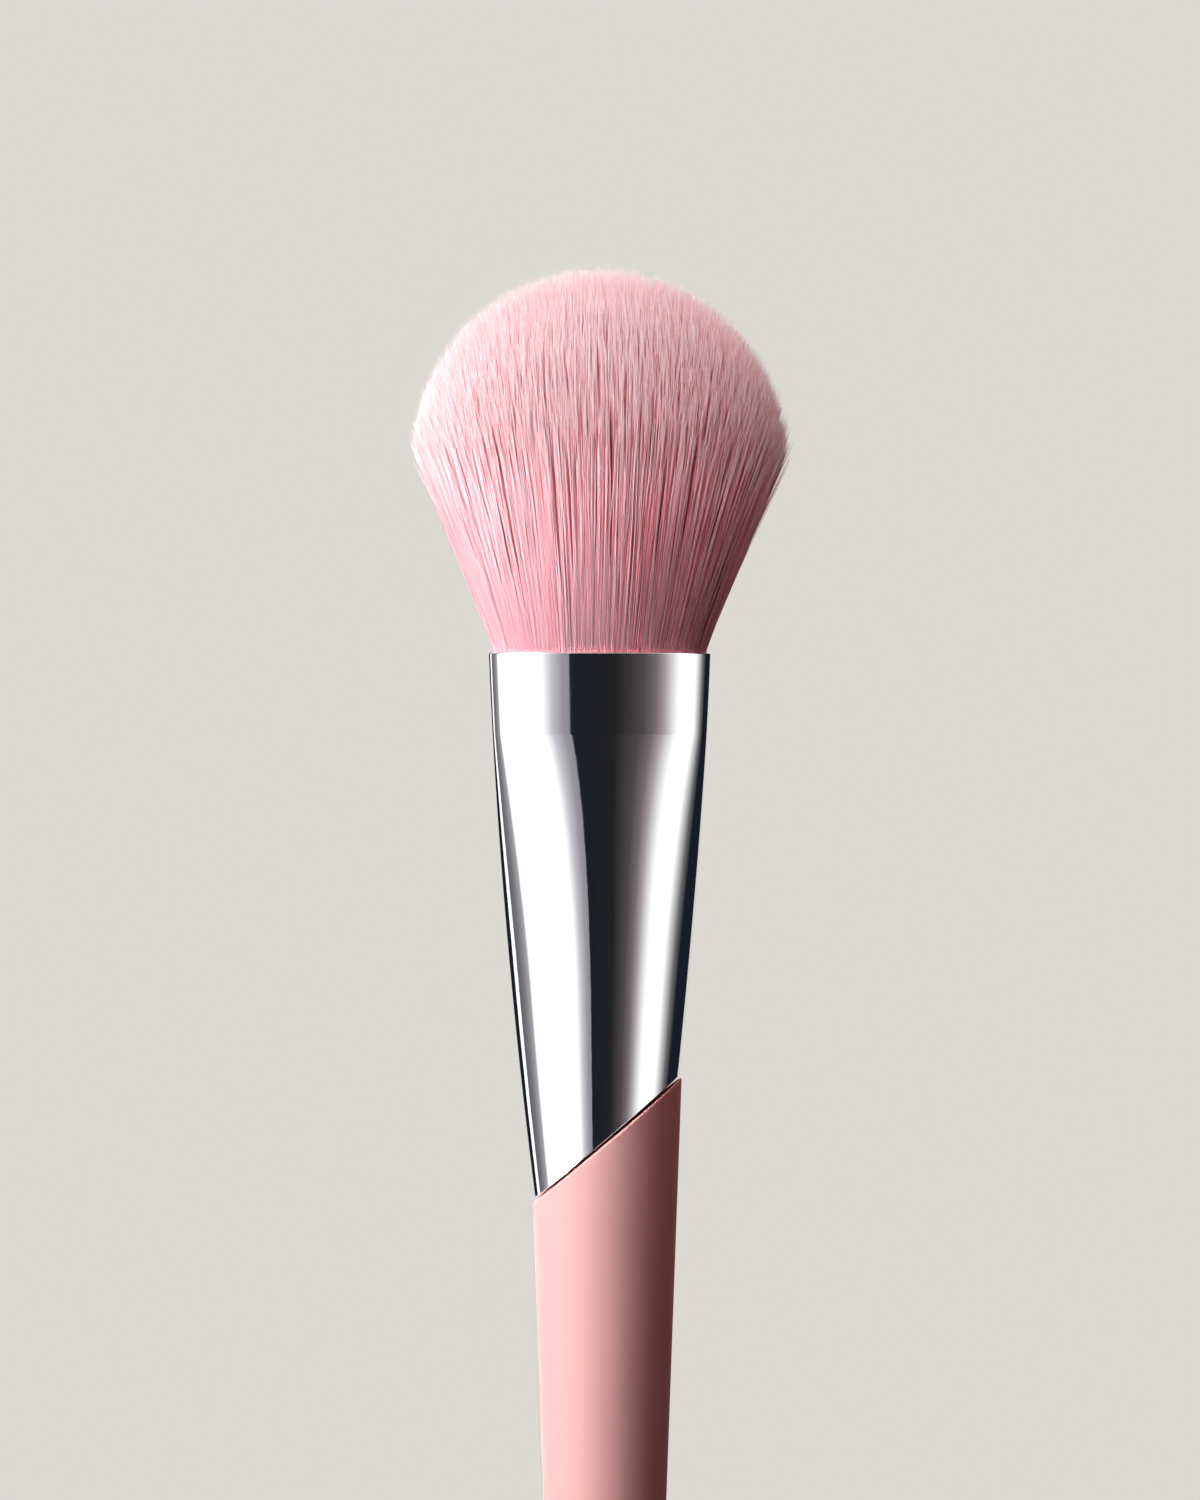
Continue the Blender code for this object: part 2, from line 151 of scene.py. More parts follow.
STRAND_TONE, WISP_TONE, LOCK_TONE = 0.2, 0.15, 0.015  # how much the shades differ
CALM_SHARE = 0.2  # of the drift that is left on the smooth side of the tuft, at -X
CALM_SIDE = (-0.85, 0.0)  # x in the unit disc where the calm ends
UPRIGHT_SHARE = 0.5  # how much less the strands lean in the middle of the front than in an even fan
TUFT_NORMAL_SHARE = 1.8  # of the tuft's own outward direction in the normals of a strand
SIDE_DEPTH = 0.00012  # how far below the bundle's outline its side has its palest colour, where the painted shade by depth begins
SUNK_DEPTH = 0.003  # below the tuft's surface, where the depth that darkens a strand with painted shade counts as 1
CELL_SLIMNESS = 6  # height over width of a strand's cell in the map
CELL_MARGIN_SHARES = (0.1, 0.05)  # of a cell, free at each side and each end
GOLDEN_ANGLE = math.pi * (3 - math.sqrt(5))
SEED = 7
HALVINGS = 30
TINY = 1e-6  # keeps divisions off zero

# Fineness of the skins
RING_SIDES = 256
SLICE_SIDES = 128
LEAN_PASSES = 8  # how often a slanted ring's points are moved along their wall
MOUTH_LEVELS, COLLAR_LEVELS, SHOULDER_LEVELS, BODY_LEVELS, END_LEVELS = 6, 24, 56, 70, 5
BORE_LEVELS, COLLAR_BORE_LEVELS = 20, 6
BUTT_SHARES, BUTT_LEVELS = (0.9, 0.7, 0.5, 0.3), 9  # rings across the flat, as insets, and round its edge
TAPER_LEVELS, LIP_LEVELS = 90, 8
TAPER_STOP = 1.4  # of LIP_ROUND: how far below the joint the taper's rings end
SLICE_SHARES, SLICE_LEVELS = (0.25, 0.5, 0.75, 0.9), 4  # rings across the slice and round its rim
SHARP_ANGLE = math.radians(35)  # above which an edge stays hard
SHOULDER_SPACING = 1.6  # power that crowds the shoulder's rings towards the collar

# Studio
CAMERA_DISTANCE = 0.9
CAMERA_HEIGHT = 0.1249
VIEW_HEIGHT = 0.156  # what the picture's long side covers at the brush
SENSOR = 0.036
CARD_DISTANCE = 0.75
CARD_FOOT, CARD_TOP = -1.2, 1.1
CARD_STEPS = 32
FLOOR_RADIUS = 0.5
FLOOR_MIDDLE = 0.02
FLOOR_CLEAR = (0.12, 0.48)  # from the middle, between which the floor thins out
FLOOR_RINGS, FLOOR_SIDES = 24, 128
BACKDROP = (0.716, 0.694, 0.658)
FILL, FILL_STRENGTH = (1.0, 0.46, 0.42), 0.03
LAMPS = (  # name, bearing in degrees, height, distance, width, length, power in watts
    ("key_lamp", -36, 0.50, 0.8, 0.6, 0.8, 0.8),
    ("head_lamp", -32, 0.23, 0.16, 0.18, 0.16, 0.285),
    ("top_lamp", 25, 0.40, 0.02, 0.20, 0.20, 0.36),
    ("side_lamp", 65, 0.25, 0.12, 0.08, 0.08, 0.052),
    ("right_lamp", 158, 0.40, 0.8, 0.5, 0.7, 2.0),
    ("back_lamp", -155, 0.50, 0.8, 0.8, 0.7, 3.2),
)

# Colours along the bristles, with painted shade below the surface and at the root and painted light over the
# dome
PAINTED_SHADE_BY_DEPTH = (  # painted shade, from the tuft's surface, at 0, down by shares of SUNK_DEPTH
    (0.0, (0.96, 0.51, 0.57)),
    (0.04, (0.96, 0.40, 0.45)),
    (0.10, (0.94, 0.16, 0.19)),
    (0.3, (0.82, 0.05, 0.07)),
)
BY_TONE = (
    (0.0, (0.88, 0.22, 0.26)),
    (0.45, (0.97, 0.64, 0.67)),
    (0.8, (1.0, 0.96, 0.99)),
    (1.0, (1.0, 1.0, 1.0)),
)
# painted shade: darker and more mauve towards the root, by share of the tuft's height
PAINTED_SHADE_BY_HEIGHT = ((0.0, (0.50, 0.36, 0.42)), (0.4, (1.0, 1.0, 1.0)))
TIP_COLOUR = (0.96, 0.88, 0.88)
TIP_REACH, TIP_SHARE = 0.09, 0.45  # of the tuft's height, before a strand's end, and how much of it there
# painted light from above: the dome paler towards its top, less so deeper in
DOME_LIGHT_COLOUR = (0.96, 0.86, 0.865)
DOME_START, DOME_SHARE = 0.3, 0.68  # of the tuft's height, where it sets in, and how much of it at the top
DOME_SUNK, DOME_SUNK_SHARE = (0.08, 0.4), 0.3  # depths between which it fades, down to this share

random = np.random.default_rng(SEED)


def smooth(low, high, value):
    """Rises from 0 to 1 between low and high, level at both ends."""
    share = np.clip((value - low) / (high - low), 0, 1)
    return share * share * (3 - 2 * share)


# Meshes


def add_object(name, data):
    """An object in the scene for a mesh, a lamp or a camera."""
    made = bpy.data.objects.new(name, data)
    bpy.context.scene.collection.objects.link(made)
    return made


def mesh_object(name, points, quads, triangles, material, sharp=SHARP_ANGLE, normals=None):
    """An object from arrays of corners, turned so that its faces point out, with its own normals if given."""
    corners = points[triangles] if len(triangles) else np.zeros((0, 3, 3))
    halves = np.concatenate([points[quads[:, [0, 1, 2]]], points[quads[:, [0, 2, 3]]], corners])
    volume = np.einsum("ij,ij->i", halves[:, 0], np.cross(halves[:, 1], halves[:, 2])).sum()
    if volume < 0:
        quads, triangles = quads[:, ::-1], triangles[:, ::-1]
    mesh = bpy.data.meshes.new(name)
    mesh.vertices.add(len(points))
    mesh.vertices.foreach_set("co", points.astype(np.float32).ravel())
    mesh.loops.add(quads.size + triangles.size)
    around = np.concatenate([quads.ravel(), triangles.ravel()])
    mesh.loops.foreach_set("vertex_index", around.astype(np.int32))
    mesh.polygons.add(len(quads) + len(triangles))
    totals = np.concatenate([np.full(len(quads), 4), np.full(len(triangles), 3)])
    mesh.polygons.foreach_set("loop_start", (np.cumsum(totals) - totals).astype(np.int32))
    mesh.update(calc_edges=True)
    mesh.validate()
    mesh.shade_smooth()
    if sharp:
        mesh.set_sharp_from_angle(angle=sharp)
    if normals is not None:
        mesh.normals_split_custom_set_from_vertices(normals)
    mesh.materials.append(material)
    return add_object(name, mesh)


def skin(name, grid, material, closed=False):
    """A skin over rings in order, closed back on the first ring or by a fan at each end."""
    rows, sides, _ = grid.shape
    index = np.arange(rows * sides).reshape(rows, sides)
    here = index if closed else index[:-1]
    there = np.roll(index, -1, axis=0)[: len(here)]
    quads = np.stack([here, np.roll(here, -1, 1), np.roll(there, -1, 1), there], axis=-1).reshape(-1, 4)
    points = grid.reshape(-1, 3)
    triangles = np.zeros((0, 3), int)
    if not closed:
        middles = np.stack([grid[0].mean(axis=0), grid[-1].mean(axis=0)])
        points = np.concatenate([points, middles])
        first = np.stack([np.full(sides, rows * sides), np.roll(index[0], -1), index[0]], axis=1)
        last = np.stack([np.full(sides, rows * sides + 1), index[-1], np.roll(index[-1], -1)], axis=1)
        triangles = np.concatenate([first, last])
    return mesh_object(name, points, quads, triangles, material)


# Materials


class Nodes:
    """A material whose nodes are added and joined by short calls."""

    def __init__(self, name):
        self.material = bpy.data.materials.new(name)
        self.material.use_nodes = True
        self.tree = self.material.node_tree
        self.shader = self.tree.nodes["Principled BSDF"]

    def add(self, kind, **values):
        node = self.tree.nodes.new(kind)
        for name, value in values.items():
            setattr(node, name, value)
        return node

    def join(self, source, goal):
        self.tree.links.new(source, goal)

    def set(self, **values):
        for name, value in values.items():
            self.shader.inputs[name.replace("_", " ")].default_value = value

    def place(self, scale):
        """Object coordinates, stretched by three factors."""
        where = self.add("ShaderNodeTexCoord")
        stretched = self.add("ShaderNodeMapping")
        stretched.inputs["Scale"].default_value = scale
        self.join(where.outputs["Object"], stretched.inputs["Vector"])
        return stretched.outputs["Vector"]

    def noise(self, scale, detail=3.0, roughness=0.5):
        """Noise with a grain of one over the scale, in metres along X, Y and Z."""
        made = self.add("ShaderNodeTexNoise")
        made.inputs["Scale"].default_value = 1.0
        made.inputs["Detail"].default_value = detail
        made.inputs["Roughness"].default_value = roughness
        self.join(self.place(scale), made.inputs["Vector"])
        return made.outputs["Fac"]

    def attribute(self, name):
        return self.add("ShaderNodeAttribute", attribute_name=name).outputs["Fac"]

    def reckon(self, operation, first, second):
        """One Math node on two sockets or numbers."""
        made = self.add("ShaderNodeMath", operation=operation)
        for goal, value in zip(made.inputs, (first, second)):
            if isinstance(value, (int, float)):
                goal.default_value = value
            else:
                self.join(value, goal)
        return made.outputs[0]

    def range(self, value, low, high, to_low, to_high):
        made = self.add("ShaderNodeMapRange")
        for goal, number in zip(list(made.inputs)[1:5], (low, high, to_low, to_high)):
            goal.default_value = number
        self.join(value, made.inputs["Value"])
        return made.outputs["Result"]

    def ramp(self, value, stops):
        """Colours at given places from 0 to 1, with straight blends between them."""
        made = self.add("ShaderNodeValToRGB")
        elements = made.color_ramp.elements
        while len(elements) < len(stops):
            elements.new(1.0)
        for element, (place, colour) in zip(elements, stops):
            element.position = place
            element.color = (*colour, 1.0)
        self.join(value, made.inputs["Fac"])
        return made.outputs["Color"]

    def blend(self, share, first, second, way="MIX"):
        """A Mix node on two colours, given as sockets or numbers."""
        made = self.add("ShaderNodeMix", data_type="RGBA", blend_type=way)
        for goal, value in zip((made.inputs[0], made.inputs[6], made.inputs[7]), (share, first, second)):
            if isinstance(value, (int, float)):
                goal.default_value = value
            elif isinstance(value, tuple):
                goal.default_value = (*value, 1.0)
            else:
                self.join(value, goal)
        return made.outputs[2]

    def bump(self, height, distance, strength=1.0):
        made = self.add("ShaderNodeBump")
        made.inputs["Distance"].default_value = distance
        made.inputs["Strength"].default_value = strength
        self.join(height, made.inputs["Height"])
        self.join(made.outputs["Normal"], self.shader.inputs["Normal"])

    def colour(self, socket):
        self.join(socket, self.shader.inputs["Base Color"])

    def roughness(self, socket):
        self.join(socket, self.shader.inputs["Roughness"])

    def surface(self, socket):
        out = next(node for node in self.tree.nodes if node.type == "OUTPUT_MATERIAL")
        self.join(socket, out.inputs["Surface"])


def bristle_material():
    """Rose filament: paler at the tip; paler over the dome by painted light; deeper below the tuft's surface
    and at the root by painted shade.
    """
    made = Nodes("rose_filament")
    # painted shade: darker and redder the further a strand lies below the tuft's surface
    body = made.ramp(made.attribute("sunk"), PAINTED_SHADE_BY_DEPTH)
    tone = made.ramp(made.attribute("tone"), BY_TONE)
    body = made.blend(1.0, body, tone, "MULTIPLY")
    thin = made.range(made.attribute("tip_share"), 0.0, TIP_REACH, TIP_SHARE, 0.0)
    body = made.blend(thin, body, TIP_COLOUR)
    # painted light from above: paler over the top of the dome, fading with depth below the surface
    high = made.range(made.attribute("rise"), DOME_START, 1.0, 0.0, DOME_SHARE)
    shallow = made.range(made.attribute("sunk"), *DOME_SUNK, 1.0, DOME_SUNK_SHARE)
    body = made.blend(made.reckon("MULTIPLY", high, shallow), body, DOME_LIGHT_COLOUR)
    # painted shade: darker towards the root, just above the mouth
    root = made.ramp(made.attribute("rise"), PAINTED_SHADE_BY_HEIGHT)
    made.colour(made.blend(1.0, body, root, "MULTIPLY"))
    made.roughness(made.range(made.attribute("tone"), 0.0, 1.0, 0.68, 0.80))
    made.set(Specular_IOR_Level=0.40)
    return made.material


def chrome_material():
    """Polished plating: faint draw lines run along the tube, with a trace of haze."""
    made = Nodes("polished_silver_plate")
    made.set(Metallic=1.0)
    lines = made.noise((2600.0, 2600.0, 26.0), 4.0, 0.6)
    haze = made.noise((160.0, 160.0, 60.0), 2.0)
    made.colour(made.ramp(haze, ((0.3, (0.885, 0.885, 0.90)), (0.7, (0.93, 0.93, 0.94)))))
    made.roughness(made.range(lines, 0.3, 0.7, 0.03, 0.065))
    made.bump(lines, 0.0000012)
    return made.material


def soft_touch_material():
    """Soft-touch coating: an even deep rose with a very fine grain, paled where its dull sheen is bright."""
    made = Nodes("rose_soft_touch")
    grain = made.noise((5200.0, 5200.0, 5200.0), 2.0)
    cloud = made.noise((90.0, 90.0, 40.0), 2.0)
    made.colour(made.ramp(cloud, ((0.3, (0.50, 0.146, 0.132)), (0.7, (0.52, 0.152, 0.139)))))
    made.roughness(made.range(grain, 0.25, 0.75, 0.82, 0.90))
    made.set(Specular_IOR_Level=0.58)
    made.bump(grain, 0.000004)
    return made.material


def glued_root_material():
    """Root ends set in clear glue: small round dots with darker glue between them."""
    made = Nodes("glued_roots")
    dots = made.add("ShaderNodeTexVoronoi")
    made.join(made.place((9000.0, 9000.0, 300.0)), dots.inputs["Vector"])
    dots.inputs["Scale"].default_value = 1.0
    made.colour(made.ramp(dots.outputs["Distance"], ((0.25, (0.62, 0.30, 0.33)), (0.6, (0.30, 0.13, 0.14)))))
    made.roughness(made.range(dots.outputs["Distance"], 0.2, 0.7, 0.45, 0.2))
    made.bump(dots.outputs["Distance"], 0.00002)
    return made.material


def thread_material():
    """Waxed thread: fine slanted fibres in off-white."""
    made = Nodes("waxed_thread")
    fibres = made.noise((4000.0, 4000.0, 1500.0), 4.0, 0.7)
    made.colour(made.ramp(fibres, ((0.3, (0.62, 0.58, 0.50)), (0.7, (0.82, 0.79, 0.72)))))
    made.roughness(made.range(fibres, 0.3, 0.7, 0.75, 0.6))
    made.bump(fibres, 0.00004)
    return made.material


def glue_material():
    """Set glue: amber, cloudy, with small pits."""
    made = Nodes("set_glue")
    cloud = made.noise((350.0, 350.0, 350.0), 3.0)
    pits = made.noise((2500.0, 2500.0, 2500.0), 2.0)
    made.colour(made.ramp(cloud, ((0.3, (0.52, 0.40, 0.20)), (0.7, (0.66, 0.56, 0.34)))))
    made.roughness(made.range(cloud, 0.3, 0.7, 0.18, 0.34))
    made.bump(pits, 0.00003)
    return made.material


def steel_material():
    """Turned steel bar: rings of fine tool marks round it."""
    made = Nodes("turned_steel")
    made.set(Metallic=1.0)
    marks = made.noise((30.0, 30.0, 7000.0), 3.0, 0.6)
    made.colour(made.ramp(marks, ((0.3, (0.40, 0.40, 0.41)), (0.7, (0.52, 0.52, 0.53)))))
    made.roughness(made.range(marks, 0.3, 0.7, 0.28, 0.42))
    made.bump(marks, 0.000006)
    return made.material


def stopper_material():
    """Stopper: dark rubber with a dusty bloom."""
    made = Nodes("dark_stopper")
    bloom = made.noise((700.0, 700.0, 700.0), 4.0)
    made.colour(made.ramp(bloom, ((0.35, (0.022, 0.022, 0.024)), (0.7, (0.05, 0.05, 0.053)))))
    made.roughness(made.range(bloom, 0.3, 0.7, 0.6, 0.85))
    made.bump(bloom, 0.00002)
    return made.material


# Skins of the hard pieces


def handle_radius(height):
    """Radius of the straight taper at a height above the butt."""
    return HANDLE_BUTT_RADIUS + (HANDLE_JOINT_RADIUS - HANDLE_BUTT_RADIUS) * height / HANDLE_LENGTH


def ferrule_half_width(depth):
    """Half width at a depth below the mouth: a straight taper plus a parabola for the belly."""
    share = depth / FERRULE_LENGTH
    taper = MOUTH_HALF_WIDTH + (FERRULE_END_RADIUS - MOUTH_HALF_WIDTH) * share
    return taper + FERRULE_BELLY * 4 * share * (1 - share)


def ferrule_roundness(depth):
    """Half depth over half width: the mouth's in the collar, then up to 1 by a power over the shoulder."""
    flat = MOUTH_HALF_DEPTH / MOUTH_HALF_WIDTH
    share = np.clip((depth - COLLAR_HEIGHT) / SHOULDER_HEIGHT, 0, 1)
    return flat + (1 - flat) * (1 - (1 - share) ** SHOULDER_EXPONENT)


def straight(x, y):
    """World x and y of places round the handle's own axis."""
    return x, y


def centred(x, y):
    """World x and y of places round the ferrule's axis."""
    return AXIS + x, y


def turned(x, y):
    """World x and y of places in the head, which is turned about the ferrule's axis."""
    cos, sin = math.cos(HEAD_TURN), math.sin(HEAD_TURN)
    return AXIS + x * cos - y * sin, x * sin + y * cos


def ring(halves, height, lean=0.0, spot=straight, sides=RING_SIDES):
    """Points round a wall on the plane z = height + lean * x. Each pass moves them along the wall.

    The spot is the function that gives world x and y for places round the wall's middle.
    """
    turn = np.linspace(0, math.tau, sides, endpoint=False)
    heights = np.full(sides, height)
    for _ in range(LEAN_PASSES if lean else 1):
        wide, deep = halves(heights)
        x, y = spot(wide * np.cos(turn), deep * np.sin(turn))
        heights = height + lean * x
    return np.stack([x, y, heights], axis=1)


def head_ring(halves, height, lean=0.0, sides=RING_SIDES):
    """A ring round a wall of the turned head."""
    return ring(halves, height, lean, turned, sides)


def ferrule_halves(inset):
    """A function of world height for the ferrule's half width and half depth, less an inset."""

    def halves(height):
        wide = ferrule_half_width(MOUTH - height)
        return wide - inset, wide * ferrule_roundness(MOUTH - height) - inset

    return halves


def round_halves(radius):
    """A function of world height for a straight round wall, the same at all heights."""
    return lambda height: (radius, radius)


def handle_halves(inset):
    """A function of world height for the handle's taper, less an inset."""
    return lambda height: (handle_radius(height) - inset, handle_radius(height) - inset)


def ferrule(material):
    """The tube's skin: rounded mouth, collar, shoulder and body outside, slanted end, then the bore.

    Each level is a height on Z, a slant and an inset. The slant grows evenly down the body.
    """
    end = HANDLE_LENGTH + JOINT_GAP
    collar_foot = MOUTH - COLLAR_HEIGHT
    body_top = MOUTH - COLLAR_HEIGHT - SHOULDER_HEIGHT
    levels = []
    for a in np.linspace(math.pi / 2, 0, MOUTH_LEVELS):
        levels.append((MOUTH - FERRULE_ROUND * (1 - math.sin(a)), 0.0, FERRULE_ROUND * (1 - math.cos(a))))
    levels += [(z, 0.0, 0.0) for z in np.linspace(MOUTH - FERRULE_ROUND, collar_foot, COLLAR_LEVELS)[1:]]
    for s in np.linspace(0, 1, SHOULDER_LEVELS)[1:]:
        levels.append((collar_foot - SHOULDER_HEIGHT * s**SHOULDER_SPACING, 0.0, 0.0))
    for s in np.linspace(0, BODY_FOOT_SHARE, BODY_LEVELS)[1:]:
        levels.append((body_top + (end - body_top) * s, JOINT_RISE * s, 0.0))
    foot = FERRULE_ROUND / 2
    for a in np.linspace(0, math.pi / 2, END_LEVELS):
        levels.append((end + foot * (1 - math.sin(a)), JOINT_RISE, foot * (1 - math.cos(a))))
    rings = [head_ring(ferrule_halves(inset), height, lean) for height, lean, inset in levels]
    inner = [(end, JOINT_RISE)]
    for s in np.linspace(1, 0, BORE_LEVELS)[1:]:
        inner.append((body_top + (end - body_top) * s, JOINT_RISE * s))
    inner += [(z, 0.0) for z in np.linspace(body_top, collar_foot, BORE_LEVELS)[1:]]
    inner += [(z, 0.0) for z in np.linspace(collar_foot, MOUTH, COLLAR_BORE_LEVELS)[1:]]
    rings += [head_ring(ferrule_halves(FERRULE_WALL), height, lean) for height, lean in inner]
    return skin("ferrule_skin", np.array(rings), material, closed=True)


def tenon_radius():
    """What the bore leaves at its narrowest, the low side of the slanted end, less the glue and two gaps."""
    lowest = FERRULE_LENGTH + JOINT_RISE * FERRULE_END_RADIUS
    return ferrule_half_width(lowest) - FERRULE_WALL - TENON_GLUE - GAP * 2


def handle(material):
    """Outside from the rounded butt up to the slanted lip, then the shoulder, the tenon and the core."""
    rings = [ring(handle_halves(HANDLE_BUTT_RADIUS * s), 0.0) for s in BUTT_SHARES]
    for a in np.linspace(0, math.pi / 2, BUTT_LEVELS):
        rings.append(ring(handle_halves(BUTT_ROUND * (1 - math.sin(a))), BUTT_ROUND * (1 - math.cos(a))))
    for s in np.linspace(0, 1, TAPER_LEVELS)[1:]:
        height = BUTT_ROUND + (HANDLE_LENGTH - LIP_ROUND * TAPER_STOP - BUTT_ROUND) * s
        rings.append(ring(handle_halves(0.0), height, JOINT_RISE * s))
    for a in np.linspace(0, math.pi / 2, LIP_LEVELS):
        drop = LIP_ROUND * (1 - math.sin(a)) * math.hypot(1.0, JOINT_RISE)
        lip = handle_halves(LIP_ROUND * (1 - math.cos(a)))
        rings.append(ring(lip, HANDLE_LENGTH - drop, JOINT_RISE))
    tenon = tenon_radius()
    top = HANDLE_LENGTH + TENON_LENGTH
    core = round_halves(tenon - TENON_WALL)
    rings.append(ring(round_halves(tenon), HANDLE_LENGTH, JOINT_RISE, centred))
    rings.append(ring(round_halves(tenon), top - TENON_CHAMFER, spot=centred))
    rings.append(ring(round_halves(tenon - TENON_CHAMFER), top, spot=centred))
    rings += [ring(core, top), ring(core, BUTT_THICKNESS)]
    return skin("handle_skin", np.array(rings), material)


# Tuft


def flare(height):
    """Spread of the bundle as a share of that at the widest level: a hyperbola, straight above the rim."""
    risen = np.maximum(height, 0)
    full = math.hypot(WIDEST, FLARE_START) - FLARE_START
    return (np.sqrt(risen**2 + FLARE_START**2) - FLARE_START) / full


def tuft_halves(height):
    """Half width and half depth of the bundle at a height above the mouth. The depth bows out sooner."""
    wide = MOUTH_HALF_WIDTH - FERRULE_WALL - STRAND_RADIUS
    deep = MOUTH_HALF_DEPTH - FERRULE_WALL - STRAND_RADIUS
    share = flare(height)
    bowed = share + DEPTH_BOW_SHARE * share * (1 - share)
    return wide + (HEAD_HALF_WIDTH - wide) * share, deep + (HEAD_HALF_DEPTH - deep) * bowed


def even_disc(count, jitter):
    """Places in the unit disc: each a golden angle on from the last, at the root of its rank, jittered."""
    rank = (np.arange(count) + 0.5) / count
    turn = np.arange(count) * GOLDEN_ANGLE
    places = np.sqrt(rank)[:, None] * np.stack([np.cos(turn), np.sin(turn)], axis=1)
    places += random.normal(size=(count, 2)) * jitter / math.sqrt(count)
    reach = np.linalg.norm(places, axis=1, keepdims=True)
    return places / np.maximum(reach, 1)


def bunches(places, cells):
    """The bunch of each place and its middle: cells of a square grid that is bent by two crossing waves."""
    bent = places + np.sin(places[:, ::-1] * cells * CELL_WAVES + CELL_PHASES) * CELL_SWAY_SHARE / cells
    cell = np.floor(bent * cells).astype(int) + cells + 1
    _, group = np.unique(cell[:, 0] * 4 * cells + cell[:, 1], return_inverse=True)
    size = np.bincount(group)
    middle = np.stack([np.bincount(group, places[:, axis]) / size for axis in (0, 1)], axis=1)
    return group, middle[group]


def dome_reach(place, height):
    """Distance from the middle of the widest level over that of the dome, as on an ellipsoid of radius 1."""
    wide, deep = tuft_halves(height)
    across = (place[:, 0] * wide / HEAD_HALF_WIDTH) ** 2 + (place[:, 1] * deep / HEAD_HALF_DEPTH) ** 2
    return np.sqrt(across + (np.maximum(height - WIDEST, 0) / DOME_HEIGHT) ** 2)


def sunk_share(place, height):
    """Depth below the nearer of the tuft's side and dome, as a share of SUNK_DEPTH."""
    side = (1 - np.linalg.norm(place, axis=1)) * tuft_halves(height)[0] - SIDE_DEPTH
    dome = (1 - dome_reach(place, height)) * DOME_HEIGHT
    return np.clip(np.minimum(side, dome) / SUNK_DEPTH, 0, 1)


def scatter(groups, size):
    """A random shift in the plane for each group, handed to its members."""
    return (random.normal(size=(groups.max() + 1, 2)) * size)[groups]


def flattened(shift, places):
    """Shifts with their part along the radius cut down, so that bunches slip past each other side by side."""
    radius = places / np.maximum(np.linalg.norm(places, axis=1, keepdims=True), MIDDLE_REACH)
    return shift - radius * (shift * radius).sum(axis=1, keepdims=True) * (1 - RADIAL_SHARE)


def swept(places, height):
    """Places turned round the disc towards its front and back as the tuft spreads.

    On the unit circle x becomes x less a part of x - x cubed, so that the strands in the middle of the front
    stand nearly upright and those at the sides lean most.
    """
    reach = np.maximum(np.linalg.norm(places, axis=1), TINY)
    share = UPRIGHT_SHARE * (1 - tuft_halves(np.zeros(1))[0] / tuft_halves(height)[0])
    side = np.clip(places[:, 0] / reach, -1, 1)
    side -= share * (side - side**3)
    front = np.sqrt(1 - np.minimum(side**2, 1)) * np.sign(places[:, 1])
    return np.stack([side, front], axis=1) * reach[:, None]


def shared(groups, low, high):
    """A random number between two limits for each group, handed to its members."""
    return random.uniform(low, high, groups.max() + 1)[groups]


def outward(place, height):
    """Outward unit directions of the whole tuft: an ellipsoid's above, a cone's that tilts down below."""
    wide, deep = tuft_halves(height)
    x, y = turned(place[:, 0] / wide, place[:, 1] / deep)
    up = np.where(height > WIDEST, (height - WIDEST) / DOME_HEIGHT**2, (height - WIDEST) / WIDEST * CONE_TILT)
    away = np.stack([x - AXIS, y, up], axis=1)
    return away / np.maximum(np.linalg.norm(away, axis=1, keepdims=True), TINY)


